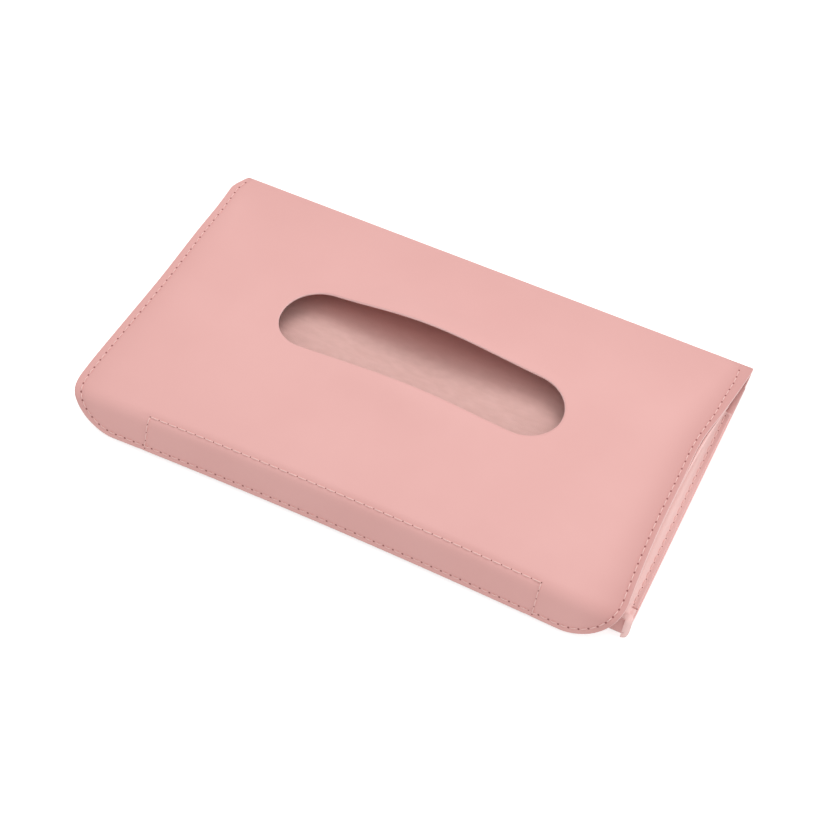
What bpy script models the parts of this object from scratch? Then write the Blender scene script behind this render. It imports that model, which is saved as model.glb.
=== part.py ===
"""Soft flap pouch that holds a pack of tissues under a car's sun visor.

One leathercloth sheet folds round a spine into a flat back and a domed front flap.
The front has a round-ended dispensing slot and turns down at the mouth over a magnet lip.
Folding side gussets join the two, and two elastic bands on the back grip the visor.
Units are metres, +Z is up through the domed front, -Y points out of the mouth.
"""
import math

import bmesh
import bpy
from mathutils import Vector

# Overall sizes
WIDTH = 0.235
SPINE_Y = 0.071
BEND_Y = -0.0655
MOUTH_Y = -0.0715
LIP_Y = -0.0630

# Thicknesses, and the play that touching layers keep
LEATHER = 0.0010
LINING = 0.0006
BOARD = 0.0008
BAND = 0.0013
MAGNET = 0.0008
GUSSET = 0.0008
PLAY = 0.0003

# Elastic bands across the back
BAND_WIDTH = 0.025
BAND_SPACING = 0.120
BAND_LENGTH = 0.120

# Heights of the back's layers, from the surface that the pouch lies on
BACK_Z = BAND + PLAY
BOARD_Z = BACK_Z + LEATHER + PLAY
BACK_LINING_Z = BOARD_Z + BOARD + PLAY
BACK_TOP_Z = BACK_LINING_Z + LINING

# Spine fold: the sheet turns round the flap's hinge line
FRONT_STACK = LEATHER + PLAY + LINING
FOLD_RADIUS = (BACK_TOP_Z + PLAY + FRONT_STACK - BACK_Z) / 2
HINGE_Y = SPINE_Y - FOLD_RADIUS
HINGE_Z = BACK_Z + FOLD_RADIUS
FOLD_TOP_Z = HINGE_Z + FOLD_RADIUS
FRONT_FOLD_START = math.radians(8)
BACK_FOLD_END = math.radians(-10)
FOLD_STEPS = 6

# Dome of the front: rises above the fold's top, at shares of the way to the bend
DOME_SHARES = (0.0, 0.15, 0.30, 0.50, 0.70, 0.88, 1.0)
CENTRE_RISES = (0.0, 0.0036, 0.0070, 0.0104, 0.0122, 0.0126, 0.0122)
SIDE_RISES = (0.0, 0.0030, 0.0055, 0.0080, 0.0093, 0.0088, 0.0077)
WALL_LENGTH = 0.0145
MOUTH_Z = 0.0028
MOUTH_BOW = 0.0015
BEND_REACH = 0.0045
CORNER_RADIUS = 0.020
FRONT_COLUMNS = 26
DOME_ROWS = 18
CORNER_ROWS = 12

# The front's sides bow in as it domes
SIDE_BOW = 0.0040
SIDE_DRAW = 0.0007

# Dispensing slot, a round-ended opening across the front, with lips that stand proud
SLOT_LENGTH = 0.123
SLOT_WIDTH = 0.032
SLOT_Y = 0.0068
SLOT_END_STEPS = 10
FAR_LIP_RISE = 0.0045
NEAR_LIP_RISE = 0.0024
LIP_SPREAD = 0.040
LIP_REACH = 0.012

# Magnet strips of the flap's wall and of the back's upturned lip, each in a sewn pocket
POCKET_LENGTH = 0.164
POCKET_MARGIN = 0.0020
POCKET_START_SHARE = 0.30
POCKET_END_SHARE = 0.92
MAGNET_START_SHARE = 0.38
MAGNET_END_SHARE = 0.84
LIP_HEIGHT = 0.0065
LIP_TURN_STEPS = 4

# Layers inside stop short of the seams
SIDE_SEAM = 0.0040
FRONT_SEAM = 0.0012
SPINE_MARGIN = 0.0030

# Folding side gussets, each of two halves that meet at an inward crease
GUSSET_START_Y = 0.0470
GUSSET_DEPTH_SHARE = 0.135
GUSSET_SEAM = 0.0006
GUSSET_STATIONS = 16

CUT_OVERRUN = 0.010

TOP_LENGTH = HINGE_Y - BEND_Y
PATH_LENGTH = TOP_LENGTH + WALL_LENGTH
LIP_STACK = LEATHER + 2 * PLAY + MAGNET + LINING
LIP_LEAN = (BEND_Y - MOUTH_Y) / WALL_LENGTH * LIP_HEIGHT
LIP_INNER_Y = LIP_Y + LIP_STACK + LIP_LEAN


def clear_scene():
    """Removes what the file holds before the pouch is modelled."""
    for thing in list(bpy.data.objects):
        bpy.data.objects.remove(thing)


def material(name, colour, roughness, metallic=0.0):
    """A plain Principled finish."""
    made = bpy.data.materials.new(name)
    made.use_nodes = True
    shader = made.node_tree.nodes["Principled BSDF"]
    shader.inputs["Base Color"].default_value = (*colour, 1.0)
    shader.inputs["Roughness"].default_value = roughness
    shader.inputs["Metallic"].default_value = metallic
    return made


def add_object(name, mesh, finish=None, origin=None):
    """Links a mesh into the scene as one named piece, with its origin on its hinge where it has one."""
    piece = bpy.data.objects.new(name, mesh)
    bpy.context.scene.collection.objects.link(piece)
    if finish:
        mesh.materials.append(finish)
    if origin:
        for vertex in mesh.vertices:
            vertex.co -= Vector(origin)
        piece.location = origin
    return piece


def grid_solid(name, outer, inner, finish=None, origin=None):
    """A closed sheet between two grids of points, each a list of rows."""
    shape = bmesh.new()
    skins = [[[shape.verts.new(p) for p in row] for row in grid] for grid in (outer, inner)]
    rows, columns = len(outer), len(outer[0])
    for side, skin in enumerate(skins):
        for i in range(rows - 1):
            for j in range(columns - 1):
                corners = [skin[i][j], skin[i + 1][j], skin[i + 1][j + 1], skin[i][j + 1]]
                shape.faces.new(corners if side else corners[::-1])
    rim = [(i, 0) for i in range(rows)] + [(rows - 1, j) for j in range(1, columns)]
    rim += [(i, columns - 1) for i in range(rows - 2, -1, -1)]
    rim += [(0, j) for j in range(columns - 2, 0, -1)]
    for (a, b), (c, d) in zip(rim, rim[1:] + rim[:1]):
        shape.faces.new([skins[0][a][b], skins[0][c][d], skins[1][c][d], skins[1][a][b]])
    bmesh.ops.recalc_face_normals(shape, faces=shape.faces)
    mesh = bpy.data.meshes.new(name)
    shape.to_mesh(mesh)
    shape.free()
    return add_object(name, mesh, finish, origin)


def plan_prism(name, outline, low, high, finish=None):
    """An outline in plan extruded between two heights."""
    shape = bmesh.new()
    face = shape.faces.new([shape.verts.new((x, y, low)) for x, y in outline])
    raised = bmesh.ops.extrude_face_region(shape, geom=[face])["geom"]
    tops = [v for v in raised if isinstance(v, bmesh.types.BMVert)]
    bmesh.ops.translate(shape, verts=tops, vec=Vector((0, 0, high - low)))
    bmesh.ops.recalc_face_normals(shape, faces=shape.faces)
    mesh = bpy.data.meshes.new(name)
    shape.to_mesh(mesh)
    shape.free()
    return add_object(name, mesh, finish)


def cut(piece, cutter):
    """Adds a Boolean difference with a hidden cutter."""
    cutter.hide_render = True
    cutter.display_type = "WIRE"
    step = piece.modifiers.new(cutter.name, "BOOLEAN")
    step.operation = "DIFFERENCE"
    step.object = cutter


def rectangle(length, depth, centre_y, centre_x=0.0):
    """A rectangle in plan."""
    half_x, half_y = length / 2, depth / 2
    signs = ((-1, -1), (1, -1), (1, 1), (-1, 1))
    return [(centre_x + sx * half_x, centre_y + sy * half_y) for sx, sy in signs]


def blend_rise(rises, share):
    """Smooth rise through the stated ones, a cubic between neighbours."""
    last = len(DOME_SHARES) - 1
    k = min(max(i for i, s in enumerate(DOME_SHARES) if s <= max(share, 0.0)), last - 1)
    span = DOME_SHARES[k + 1] - DOME_SHARES[k]
    t = (share - DOME_SHARES[k]) / span

    def slope(i):
        low, high = max(i - 1, 0), min(i + 1, last)
        return (rises[high] - rises[low]) / (DOME_SHARES[high] - DOME_SHARES[low]) * span

    t2, t3 = t * t, t * t * t
    return (rises[k] * (2 * t3 - 3 * t2 + 1) + slope(k) * (t3 - 2 * t2 + t)
            + rises[k + 1] * (3 * t2 - 2 * t3) + slope(k + 1) * (t3 - t2))


def lip_rise(x, y):
    """How far the slot's lips stand proud, most at mid-length."""
    rise = 0.0
    for height, lip_y in ((FAR_LIP_RISE, SLOT_Y + SLOT_WIDTH / 2), (NEAR_LIP_RISE, SLOT_Y - SLOT_WIDTH / 2)):
        rise += height * math.exp(-((x / LIP_SPREAD) ** 2 + ((y - lip_y) / LIP_REACH) ** 2) / 2)
    return rise


def dome_height(x, y):
    """Height of the dome's outer face: side profile plus a crown that fades to the sides."""
    share = (HINGE_Y - y) / TOP_LENGTH
    side, centre = blend_rise(SIDE_RISES, share), blend_rise(CENTRE_RISES, share)
    crown = 1 - min(abs(x) * 2 / WIDTH, 1) ** 2
    return FOLD_TOP_Z + side + (centre - side) * crown + lip_rise(x, y)


def half_width(path):
    """Half the front sheet's width at a distance along it from the hinge, round at the mouth's corners."""
    start = PATH_LENGTH - CORNER_RADIUS
    share = min(path, start) / PATH_LENGTH
    width = WIDTH / 2 - SIDE_BOW * math.sin(math.pi * share) - SIDE_DRAW * share ** 2
    into = max(path - start, 0.0)
    return width - CORNER_RADIUS + math.sqrt(max(CORNER_RADIUS ** 2 - into ** 2, 0.0))


def front_point(x, path):
    """A point of the front's outer face: over the dome, round the bend and down the wall."""
    crest = Vector((x, BEND_Y, dome_height(x, BEND_Y)))
    across = 1 - min(abs(x) / (WIDTH / 2 - CORNER_RADIUS), 1) ** 2
    foot = Vector((x, MOUTH_Y + MOUTH_BOW * across, MOUTH_Z))

    def on_dome(distance):
        return Vector((x, HINGE_Y - distance, dome_height(x, HINGE_Y - distance)))

    def on_wall(distance):
        return crest.lerp(foot, distance / WALL_LENGTH)

    if path <= TOP_LENGTH - BEND_REACH:
        return on_dome(path)
    if path >= TOP_LENGTH + BEND_REACH:
        return on_wall(path - TOP_LENGTH)
    before, after = on_dome(TOP_LENGTH - BEND_REACH), on_wall(BEND_REACH)
    t = (path - TOP_LENGTH + BEND_REACH) / (2 * BEND_REACH)
    return before * (1 - t) ** 2 + crest * (2 * t * (1 - t)) + after * t ** 2


def layer(paths, widths, depth):
    """Rows of points a stated depth inside the front's outer face."""
    rows = []
    for path, width in zip(paths, widths):
        row = []
        for j in range(FRONT_COLUMNS + 1):
            x = width * (2 * j / FRONT_COLUMNS - 1)
            point = front_point(x, path)
            if depth:
                across = front_point(x + PLAY, path) - front_point(x - PLAY, path)
                along = front_point(x, path + PLAY) - front_point(x, path - PLAY)
                point = point - along.cross(across).normalized() * depth
            row.append(point)
        rows.append(row)
    return rows


def front_paths():
    """Distances along the sheet: even over the dome, then by equal turns of the round corners."""
    start = PATH_LENGTH - CORNER_RADIUS
    paths = [start * i / DOME_ROWS for i in range(DOME_ROWS)]
    turns = (math.pi / 2 * k / CORNER_ROWS for k in range(CORNER_ROWS + 1))
    return paths + [start + CORNER_RADIUS * math.sin(turn) for turn in turns]


def fold_rows(start, end, xs):
    """Rows of the sheet where it turns round the hinge line, for its two faces."""
    outer, inner = [], []
    for k in range(FOLD_STEPS + 1):
        turn = start + (end - start) * k / FOLD_STEPS
        for grid, radius in ((outer, FOLD_RADIUS), (inner, FOLD_RADIUS - LEATHER)):
            y, z = HINGE_Y + radius * math.cos(turn), HINGE_Z + radius * math.sin(turn)
            grid.append([Vector((x, y, z)) for x in xs])
    return outer, inner


def slot_cutter():
    """The stadium prism that opens the slot in the front and its lining."""
    radius = SLOT_WIDTH / 2
    centre = SLOT_LENGTH / 2 - radius
    turns = (math.pi * (k / SLOT_END_STEPS - 0.5) for k in range(SLOT_END_STEPS + 1))
    right = [(centre + radius * math.cos(t), SLOT_Y + radius * math.sin(t)) for t in turns]
    outline = right + [(-x, y) for x, y in reversed(right)]
    return plan_prism("slot_outline", outline, 0, FOLD_TOP_Z + max(CENTRE_RISES) + CUT_OVERRUN)


def front_layers(leather, suede, magnet, slot):
    """The domed front with its lining, and its mouth's magnet strip under a sewn facing."""
    hinge = (0, HINGE_Y, HINGE_Z)
    paths = front_paths()
    widths = [half_width(path) for path in paths]
    xs = [WIDTH / 2 * (2 * j / FRONT_COLUMNS - 1) for j in range(FRONT_COLUMNS + 1)]
    outer, inner = fold_rows(FRONT_FOLD_START, math.pi / 2, xs)
    outer += layer(paths[1:], widths[1:], 0)
    inner += layer(paths[1:], widths[1:], LEATHER)
    cut(grid_solid("front_panel", outer, inner, leather, hinge), slot)

    end = TOP_LENGTH - BEND_REACH
    paths = [SPINE_MARGIN + (end - SPINE_MARGIN) * i / DOME_ROWS for i in range(DOME_ROWS + 1)]
    widths = [half_width(path) - FRONT_SEAM for path in paths]
    outer, inner = (layer(paths, widths, LEATHER + PLAY + extra) for extra in (0, LINING))
    cut(grid_solid("front_lining", outer, inner, suede, hinge), slot)

    shares = (("flap_magnet_strip", MAGNET_START_SHARE, MAGNET_END_SHARE, POCKET_MARGIN, 0, MAGNET, magnet),
              ("flap_magnet_facing", POCKET_START_SHARE, POCKET_END_SHARE, 0, MAGNET + PLAY, LINING, suede))
    for name, start_share, end_share, margin, below, thickness, finish in shares:
        paths = [TOP_LENGTH + WALL_LENGTH * share for share in (start_share, end_share)]
        widths = [POCKET_LENGTH / 2 - margin] * 2
        depth = LEATHER + PLAY + below
        grid_solid(name, layer(paths, widths, depth), layer(paths, widths, depth + thickness), finish, hinge)


def lip_rows(depth, low, high, length):
    """Rows of one face of the back's upturned lip, leaning in like the wall that closes on it."""
    rows = []
    for height in (low, high):
        y = LIP_Y + depth + LIP_LEAN * height / LIP_HEIGHT
        rows.append([Vector((x, y, BACK_Z + height)) for x in (-length / 2, length / 2)])
    return rows


def back_layers(leather, suede, board, magnet):
    """The back sheet with its half of the spine fold and its lip, and what is layered on it."""
    xs = (-WIDTH / 2, WIDTH / 2)
    outer, inner = fold_rows(BACK_FOLD_END, -math.pi / 2, xs)
    turn_radius = 2 * LEATHER
    for k in range(LIP_TURN_STEPS + 1):
        turn = math.pi / 2 * k / LIP_TURN_STEPS
        for grid, radius in ((outer, turn_radius), (inner, turn_radius - LEATHER)):
            y = LIP_Y + turn_radius - radius * math.sin(turn)
            z = BACK_Z + turn_radius - radius * math.cos(turn)
            grid.append([Vector((x, y, z)) for x in xs])
    outer.append(lip_rows(0, turn_radius, LIP_HEIGHT, WIDTH)[1])
    inner.append(lip_rows(LEATHER, turn_radius, LIP_HEIGHT, WIDTH)[1])
    grid_solid("back_panel", outer, inner, leather)

    length = WIDTH - 2 * SIDE_SEAM
    spine_y = HINGE_Y - SPINE_MARGIN
    mouth_y = LIP_INNER_Y
    centre_y, depth = (spine_y + mouth_y) / 2, spine_y - mouth_y
    plan_prism("back_board", rectangle(length, depth, centre_y), BOARD_Z, BOARD_Z + BOARD, board)
    plan_prism("back_lining", rectangle(length, depth, centre_y), BACK_LINING_Z, BACK_TOP_Z, suede)

    low, high = LEATHER + turn_radius, LIP_HEIGHT - PLAY
    for name, depth, thickness, margin, finish in (
            ("lip_magnet_strip", LEATHER + PLAY, MAGNET, POCKET_MARGIN, magnet),
            ("lip_magnet_facing", LEATHER + MAGNET + 2 * PLAY, LINING, 0, suede)):
        span = POCKET_LENGTH - 2 * margin
        grid_solid(name, lip_rows(depth, low, high, span), lip_rows(depth + thickness, low, high, span), finish)


def gusset_hinges(y):
    """The seams of a gusset at one station, on the back's lining and under the front's."""
    lower = Vector((WIDTH / 2 - SIDE_SEAM - GUSSET_SEAM, BACK_TOP_Z + PLAY + GUSSET / 2))
    x = half_width(HINGE_Y - y) - FRONT_SEAM - GUSSET_SEAM
    upper = Vector((x, dome_height(x, y) - FRONT_STACK - PLAY - GUSSET / 2))
    return lower, upper


def gusset_half(name, side, top, finish):
    """One half of a side gusset, from its seam to the crease where it meets the other half."""
    outer, inner = [], []
    for i in range(GUSSET_STATIONS + 1):
        y = GUSSET_START_Y + (LIP_INNER_Y + PLAY - GUSSET_START_Y) * i / GUSSET_STATIONS
        lower, upper = gusset_hinges(y)
        reach = GUSSET_DEPTH_SHARE * (HINGE_Y - y)
        half_gap = (GUSSET + PLAY) / 2
        crease_z = (lower.y + upper.y) / 2 + (half_gap if top else -half_gap)
        seam = upper if top else lower
        crease = Vector((min(lower.x, upper.x) - reach, crease_z))
        for grid, offset in ((outer, GUSSET / 2), (inner, -GUSSET / 2)):
            grid.append([Vector((side * p.x, y, p.y + offset)) for p in (seam, crease)])
    at = gusset_axis(top)[0]
    grid_solid(name, outer, inner, finish, (side * at.x, at.y, at.z))


def gusset_axis(top):
    """Two points of a gusset half's hinge line on the +X side: its spine end and its mouth end."""
    ends = []
    for y in (GUSSET_START_Y, LIP_INNER_Y + PLAY):
        seam = gusset_hinges(y)[1 if top else 0]
        ends.append(Vector((seam.x, y, seam.y)))
    return ends


def main():
    """Builds every piece of the pouch."""
    clear_scene()
    leather = material("leathercloth", (0.80, 0.46, 0.44), 0.5)
    suede = material("suede_lining", (0.72, 0.50, 0.47), 0.9)
    board = material("grey_board", (0.45, 0.43, 0.40), 0.8)
    magnet = material("magnet_strip", (0.08, 0.08, 0.08), 0.6)
    elastic = material("elastic_webbing", (0.72, 0.42, 0.41), 0.85)
    front_layers(leather, suede, magnet, slot_cutter())
    back_layers(leather, suede, board, magnet)
    for word, side in (("left", -1), ("right", 1)):
        gusset_half(f"{word}_gusset_lower", side, False, leather)
        gusset_half(f"{word}_gusset_upper", side, True, leather)
        outline = rectangle(BAND_WIDTH, BAND_LENGTH, 0, centre_x=side * BAND_SPACING / 2)
        plan_prism(f"{word}_visor_band", outline, 0, BAND, elastic)


main()
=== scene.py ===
"""Looks of the tissue pouch: leathercloth cover, linings, folding gussets, webbing and seams.

Every surface is a function of two parameters on a numpy grid, given a thickness as a closed sheet.
Lengths are in metres, in the frame that the solids were packed in.
"""
from __future__ import annotations

import logging
import math
from dataclasses import dataclass, field
from enum import Enum

import bpy
import numpy as np
from mathutils import Matrix, Vector

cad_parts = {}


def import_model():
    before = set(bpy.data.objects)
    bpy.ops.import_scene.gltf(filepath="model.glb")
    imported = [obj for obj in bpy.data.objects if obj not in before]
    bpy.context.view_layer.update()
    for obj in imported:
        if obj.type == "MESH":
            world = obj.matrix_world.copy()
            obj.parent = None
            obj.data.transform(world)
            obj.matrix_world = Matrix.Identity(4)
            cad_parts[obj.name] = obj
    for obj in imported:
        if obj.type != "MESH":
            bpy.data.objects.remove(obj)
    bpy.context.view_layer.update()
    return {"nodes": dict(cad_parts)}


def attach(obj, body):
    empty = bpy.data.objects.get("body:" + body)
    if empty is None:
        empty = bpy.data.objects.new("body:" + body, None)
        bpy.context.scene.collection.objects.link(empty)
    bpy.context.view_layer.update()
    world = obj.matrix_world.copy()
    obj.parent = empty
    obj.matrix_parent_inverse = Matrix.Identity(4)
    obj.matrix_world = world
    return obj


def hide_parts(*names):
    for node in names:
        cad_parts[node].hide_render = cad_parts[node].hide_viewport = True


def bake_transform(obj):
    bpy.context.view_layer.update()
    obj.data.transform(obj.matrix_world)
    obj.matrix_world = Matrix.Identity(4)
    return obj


LOG = logging.getLogger("tissue_pouch")
MM = 0.001
STEP = 1e-5


class Side(Enum):
    """Which side of the pouch a mirrored piece belongs to."""

    LEFT = -1
    RIGHT = 1

    @property
    def word(self) -> str:
        """The side's name in lower case."""
        return self.name.lower()


def srgb(red: float, green: float, blue: float) -> tuple[float, float, float, float]:
    """Turns a colour given in display steps of 0 to 255 into linear light.

    Args:
        red: Red step.
        green: Green step.
        blue: Blue step.

    Returns:
        Linear red, green and blue, and an alpha of 1.
    """
    def linear(step: float) -> float:
        share = step / 255
        return share / 12.92 if share <= 0.04045 else ((share + 0.055) / 1.055) ** 2.4
    return (linear(red), linear(green), linear(blue), 1.0)


@dataclass
class NodeDesk:
    """Adds and joins shader nodes in one material."""

    material: bpy.types.Material

    def add(self, kind: str, **values: object) -> bpy.types.Node:
        """Adds a node and sets properties and inputs by name.

        Args:
            kind: The node's type name without its ShaderNode prefix.
            values: Properties, or inputs with spaces written as underscores.

        Returns:
            The new node.
        """
        node = self.material.node_tree.nodes.new("ShaderNode" + kind)
        for name, value in values.items():
            if hasattr(node, name):
                setattr(node, name, value)
            else:
                node.inputs[name.replace("_", " ")].default_value = value
        return node

    def join(self, source: bpy.types.NodeSocket, target: bpy.types.NodeSocket) -> None:
        """Links one socket to another."""
        self.material.node_tree.links.new(source, target)

    def noise(self, place: bpy.types.NodeSocket, scale: float, detail: float) -> bpy.types.NodeSocket:
        """Noise of a given scale per metre.

        Args:
            place: Coordinates socket.
            scale: Waves per metre.
            detail: Octaves of finer noise.

        Returns:
            The noise factor's socket.
        """
        node = self.add("TexNoise", Scale=scale, Detail=detail)
        self.join(place, node.inputs["Vector"])
        return node.outputs["Fac"]

    def between(self, factor: bpy.types.NodeSocket, low: float, high: float,
                start: float = 0.0, end: float = 1.0) -> bpy.types.NodeSocket:
        """Maps a factor's range onto another range.

        Args:
            factor: Socket to map.
            low: Value at the start of the range.
            high: Value at its end.
            start: Where the range starts.
            end: Where it ends.

        Returns:
            The mapped value's socket.
        """
        node = self.add("MapRange", clamp=True)
        for name, value in (("From Min", start), ("From Max", end), ("To Min", low), ("To Max", high)):
            node.inputs[name].default_value = value
        self.join(factor, node.inputs["Value"])
        return node.outputs["Result"]

    def mix(self, factor: bpy.types.NodeSocket, first: object, second: object) -> bpy.types.NodeSocket:
        """Mixes two colours, each a value or a socket.

        Args:
            factor: Share of the second colour.
            first: Colour at factor 0.
            second: Colour at factor 1.

        Returns:
            The mixed colour's socket.
        """
        node = self.add("Mix", data_type="RGBA")
        self.join(factor, node.inputs["Factor"])
        for socket, colour in ((node.inputs[6], first), (node.inputs[7], second)):
            if isinstance(colour, bpy.types.NodeSocket):
                self.join(colour, socket)
            else:
                socket.default_value = colour
        return node.outputs[2]

    def bump(self, height: bpy.types.NodeSocket, distance: float, strength: float,
             under: bpy.types.NodeSocket | None = None) -> bpy.types.NodeSocket:
        """Turns a height into a bumped normal.

        Args:
            height: Height socket.
            distance: Bump distance in metres.
            strength: Bump strength.
            under: A normal to bump further.

        Returns:
            The normal's socket.
        """
        node = self.add("Bump", Strength=strength, Distance=distance)
        self.join(height, node.inputs["Height"])
        if under is not None:
            self.join(under, node.inputs["Normal"])
        return node.outputs["Normal"]


def fresh_material(name: str) -> tuple[NodeDesk, bpy.types.Node, bpy.types.NodeSocket]:
    """Starts a material with a Principled shader and Object coordinates.

    Args:
        name: The material's name.

    Returns:
        Its node desk, its shader and the coordinates' socket.
    """
    material = bpy.data.materials.new(name)
    material.use_nodes = True
    desk = NodeDesk(material)
    return desk, material.node_tree.nodes["Principled BSDF"], desk.add("TexCoord").outputs["Object"]


@dataclass(frozen=True)
class Leathercloth:
    """Smooth matt coated cloth with a fine pebbled grain and bare cut edges."""

    name: str
    colour: tuple[float, float, float, float]
    shade: tuple[float, float, float, float]
    painted_shade: tuple[float, float, float, float]
    edge: tuple[float, float, float, float]
    grain_per_metre: float = 1500.0
    roughness: float = 0.50

    def build(self) -> bpy.types.Material:
        """Makes the material: broad tone changes, painted shade where marked, fine grain, and a duller cut edge."""
        desk, shader, place = fresh_material(self.name)
        tone = desk.between(desk.noise(place, 22.0, 3.0), 0.0, 1.0, 0.35, 0.68)
        body = desk.mix(tone, self.colour, self.shade)
        # Painted shade: where the attribute marks a point, its colour is taken to the darker tone that stands in for
        # shade.
        painted_shade = desk.add("Attribute", attribute_name="painted_shade").outputs["Fac"]
        body = desk.mix(painted_shade, body, self.painted_shade)
        edge = desk.add("Attribute", attribute_name="cut_edge").outputs["Fac"]
        desk.join(desk.mix(edge, body, self.edge), shader.inputs["Base Color"])
        pebble = desk.add("TexVoronoi", feature="SMOOTH_F1", Scale=self.grain_per_metre, Smoothness=0.6)
        desk.join(place, pebble.inputs["Vector"])
        grain = desk.bump(pebble.outputs["Distance"], 0.00003, 0.35)
        fine = desk.noise(place, 5200.0, 2.0)
        desk.join(desk.bump(fine, 0.00002, 0.25, grain), shader.inputs["Normal"])
        rough = desk.between(desk.noise(place, 160.0, 4.0), self.roughness - 0.04, self.roughness + 0.05)
        desk.join(rough, shader.inputs["Roughness"])
        shader.inputs["Specular IOR Level"].default_value = 0.35
        return desk.material


@dataclass(frozen=True)
class NappedCloth:
    """Short-napped backing cloth, mottled along the brushing direction."""

    name: str
    colour: tuple[float, float, float, float]
    shade: tuple[float, float, float, float]
    painted_shade: tuple[float, float, float, float]

    def build(self) -> bpy.types.Material:
        """Makes the material: brushed mottling, painted shade where marked, fibre-fine bump and a soft sheen."""
        desk, shader, place = fresh_material(self.name)
        turn = desk.add("Mapping")
        turn.inputs["Scale"].default_value = (0.45, 1.0, 1.0)
        desk.join(place, turn.inputs["Vector"])
        brushed = turn.outputs["Vector"]
        mottle = desk.between(desk.noise(brushed, 420.0, 5.0), 0.0, 1.0, 0.2, 0.8)
        # Painted shade: where the attribute marks a point, its colour is taken to a darker, redder tone that stands in
        # for shade.
        painted_shade = desk.add("Attribute", attribute_name="painted_shade").outputs["Fac"]
        body = desk.mix(mottle, self.colour, self.shade)
        desk.join(desk.mix(painted_shade, body, self.painted_shade), shader.inputs["Base Color"])
        fibre = desk.bump(desk.noise(brushed, 3800.0, 4.0), 0.00012, 0.8)
        desk.join(desk.bump(desk.noise(brushed, 700.0, 3.0), 0.0001, 0.4, fibre), shader.inputs["Normal"])
        shader.inputs["Roughness"].default_value = 0.95
        shader.inputs["Sheen Weight"].default_value = 0.25
        shader.inputs["Specular IOR Level"].default_value = 0.15
        return desk.material


@dataclass(frozen=True)
class ElasticWeb:
    """Ribbed elastic webbing: ribs along its length and a tight weave across."""

    name: str
    colour: tuple[float, float, float, float]
    shade: tuple[float, float, float, float]

    def build(self) -> bpy.types.Material:
        """Makes the material from two crossed wave patterns."""
        desk, shader, place = fresh_material(self.name)
        ribs = desk.add("TexWave", bands_direction="X", Scale=260.0, Distortion=0.3)
        weave = desk.add("TexWave", bands_direction="Y", Scale=420.0, Distortion=0.4)
        for wave in (ribs, weave):
            desk.join(place, wave.inputs["Vector"])
        desk.join(desk.mix(ribs.outputs["Fac"], self.shade, self.colour), shader.inputs["Base Color"])
        across = desk.bump(weave.outputs["Fac"], 0.00012, 0.6)
        desk.join(desk.bump(ribs.outputs["Fac"], 0.0003, 0.8, across), shader.inputs["Normal"])
        shader.inputs["Roughness"].default_value = 0.85
        shader.inputs["Sheen Weight"].default_value = 0.2
        return desk.material


@dataclass(frozen=True)
class Thread:
    """Twisted sewing thread."""

    name: str
    colour: tuple[float, float, float, float]
    shade: tuple[float, float, float, float]
    roughness: float = 0.6

    def build(self) -> bpy.types.Material:
        """Makes the material with a slanted twist in colour and bump."""
        desk, shader, place = fresh_material(self.name)
        twist = desk.add("TexWave", bands_direction="DIAGONAL", Scale=900.0, Distortion=0.6)
        desk.join(place, twist.inputs["Vector"])
        desk.join(desk.mix(twist.outputs["Fac"], self.shade, self.colour), shader.inputs["Base Color"])
        desk.join(desk.bump(twist.outputs["Fac"], 0.00006, 0.6), shader.inputs["Normal"])
        shader.inputs["Roughness"].default_value = self.roughness
        return desk.material


@dataclass(frozen=True)
class Board:
    """Plain pressed sheet: grey board or flexible magnet."""

    name: str
    colour: tuple[float, float, float, float]
    shade: tuple[float, float, float, float]
    roughness: float

    def build(self) -> bpy.types.Material:
        """Makes the material with flecks and a fine tooth."""
        desk, shader, place = fresh_material(self.name)
        flecks = desk.between(desk.noise(place, 900.0, 6.0), 0.0, 1.0, 0.35, 0.65)
        desk.join(desk.mix(flecks, self.colour, self.shade), shader.inputs["Base Color"])
        desk.join(desk.bump(desk.noise(place, 2600.0, 3.0), 0.00005, 0.5), shader.inputs["Normal"])
        shader.inputs["Roughness"].default_value = self.roughness
        return desk.material


@dataclass
class Finishes:
    """Every finish of the pouch, built once."""

    cover: bpy.types.Material = field(init=False)
    gusset: bpy.types.Material = field(init=False)
    lining: bpy.types.Material = field(init=False)
    front_lining: bpy.types.Material = field(init=False)
    web: bpy.types.Material = field(init=False)
    thread: bpy.types.Material = field(init=False)
    hole: bpy.types.Material = field(init=False)
    board: bpy.types.Material = field(init=False)
    magnet: bpy.types.Material = field(init=False)

    def __post_init__(self) -> None:
        """Builds the materials."""
        # The third colour of each leathercloth and napped cloth is the darker tone of painted shade, used where a piece
        # marks it.
        self.cover = Leathercloth("pink_leathercloth", srgb(234, 179, 174), srgb(231, 175, 170),
                                  srgb(217, 160, 155), srgb(250, 212, 209)).build()
        # Painted light: the gusset's pink is paler than the cover's, to make up for the shade that the front's edge
        # casts on it.
        self.gusset = Leathercloth("pink_gusset_cloth", srgb(254, 216, 211), srgb(252, 211, 206),
                                   srgb(218, 169, 165), srgb(250, 208, 203), grain_per_metre=1900.0).build()
        self.lining = NappedCloth("pale_backing_cloth", srgb(244, 199, 192), srgb(232, 186, 178),
                                  srgb(232, 160, 152)).build()
        # Painted shade: the front's backing cloth is a darker, redder copy of the pale one, so that the shade seen
        # inside the slot comes out deep red.
        self.front_lining = NappedCloth("rose_backing_cloth", srgb(168, 90, 80), srgb(158, 82, 72),
                                        srgb(150, 76, 66)).build()
        self.web = ElasticWeb("pink_elastic_webbing", srgb(226, 170, 166), srgb(196, 138, 134)).build()
        self.thread = Thread("pale_pink_thread", srgb(247, 205, 199), srgb(238, 191, 185)).build()
        self.hole = Thread("needle_hole_shadow", srgb(172, 108, 105), srgb(148, 87, 85), 0.9).build()
        self.board = Board("grey_board", srgb(176, 170, 162), srgb(150, 144, 138), 0.85).build()
        self.magnet = Board("magnet_strip", srgb(52, 50, 50), srgb(40, 38, 38), 0.55).build()


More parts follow.
